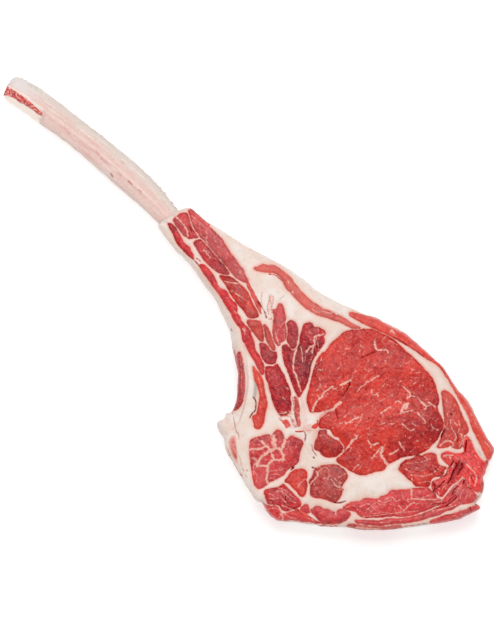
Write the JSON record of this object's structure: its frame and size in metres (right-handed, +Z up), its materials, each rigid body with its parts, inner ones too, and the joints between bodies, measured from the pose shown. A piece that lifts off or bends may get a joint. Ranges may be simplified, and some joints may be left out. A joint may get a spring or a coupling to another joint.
{
  "type": "raw tomahawk steak",
  "caption": "Thick raw rib steak on a long scraped rib bone, lying flat, with a marbled eye muscle, smaller muscles and white fat.",
  "frame": {"origin": "bottom centre of the whole object's bounding box, on the surface that the steak lies on", "axes": "+X along the rib bone from its sawn tip to the meat, +Z up through the steak's thickness to the cut face that shows"},
  "size_m": [0.45, 0.1606, 0.0506],
  "materials": {
    "eye_muscle": "moist raw lean meat",
    "inner_corner_muscle": "moist raw lean meat",
    "upper_strip_muscle": "moist raw lean meat",
    "outer_strip_muscle": "moist raw lean meat",
    "cap_muscle": "moist raw lean meat",
    "lower_centre_muscle": "moist raw lean meat",
    "lower_right_muscle": "moist raw lean meat",
    "bottom_long_muscle": "moist raw lean meat",
    "bottom_layer_muscle": "moist raw lean meat",
    "edge_strip_muscle": "moist raw lean meat",
    "bottom_short_muscle": "moist raw lean meat",
    "bottom_small_muscle": "moist raw lean meat",
    "edge_layer_muscle": "moist raw lean meat",
    "dark_round_muscle": "moist raw lean meat",
    "small_round_muscle": "moist raw lean meat",
    "lower_left_muscle": "moist raw lean meat",
    "corner_strip_muscle": "moist raw lean meat",
    "marbled_muscle": "moist raw lean meat",
    "rib_side_muscle": "moist raw lean meat",
    "inner_long_muscle": "moist raw lean meat",
    "inner_short_muscle": "moist raw lean meat",
    "inner_thin_muscle": "moist raw lean meat",
    "inner_small_muscle": "moist raw lean meat",
    "upper_rib_muscle": "moist raw lean meat",
    "long_rib_muscle": "moist raw lean meat",
    "side_strip_muscle": "moist raw lean meat",
    "fan_left_muscle": "moist raw lean meat",
    "fan_centre_muscle": "moist raw lean meat",
    "fan_muscle": "moist raw lean meat",
    "neck_left_muscle": "moist raw lean meat",
    "neck_centre_muscle": "moist raw lean meat",
    "neck_outer_muscle": "moist raw lean meat",
    "neck_inner_muscle": "moist raw lean meat",
    "fat": "soft waxy fat, slightly moist",
    "rib_bone": "scraped bone, pale with pink streaks",
    "marrow": "moist red spongy bone"
  },
  "bodies": {
    "root": {"eye_muscle": "eye_muscle", "inner_corner_muscle": "inner_corner_muscle", "upper_strip_muscle": "upper_strip_muscle", "outer_strip_muscle": "outer_strip_muscle", "cap_muscle": "cap_muscle", "lower_centre_muscle": "lower_centre_muscle", "lower_right_muscle": "lower_right_muscle", "bottom_long_muscle": "bottom_long_muscle", "bottom_layer_muscle": "bottom_layer_muscle", "edge_strip_muscle": "edge_strip_muscle", "bottom_short_muscle": "bottom_short_muscle", "bottom_small_muscle": "bottom_small_muscle", "edge_layer_muscle": "edge_layer_muscle", "dark_round_muscle": "dark_round_muscle", "small_round_muscle": "small_round_muscle", "lower_left_muscle": "lower_left_muscle", "corner_strip_muscle": "corner_strip_muscle", "marbled_muscle": "marbled_muscle", "rib_side_muscle": "rib_side_muscle", "inner_long_muscle": "inner_long_muscle", "inner_short_muscle": "inner_short_muscle", "inner_thin_muscle": "inner_thin_muscle", "inner_small_muscle": "inner_small_muscle", "upper_rib_muscle": "upper_rib_muscle", "long_rib_muscle": "long_rib_muscle", "side_strip_muscle": "side_strip_muscle", "fan_left_muscle": "fan_left_muscle", "fan_centre_muscle": "fan_centre_muscle", "fan_muscle": "fan_muscle", "neck_left_muscle": "neck_left_muscle", "neck_centre_muscle": "neck_centre_muscle", "neck_outer_muscle": "neck_outer_muscle", "neck_inner_muscle": "neck_inner_muscle", "fat": "fat", "rib_bone": "rib_bone", "marrow": "marrow"}
  },
  "joints": []
}
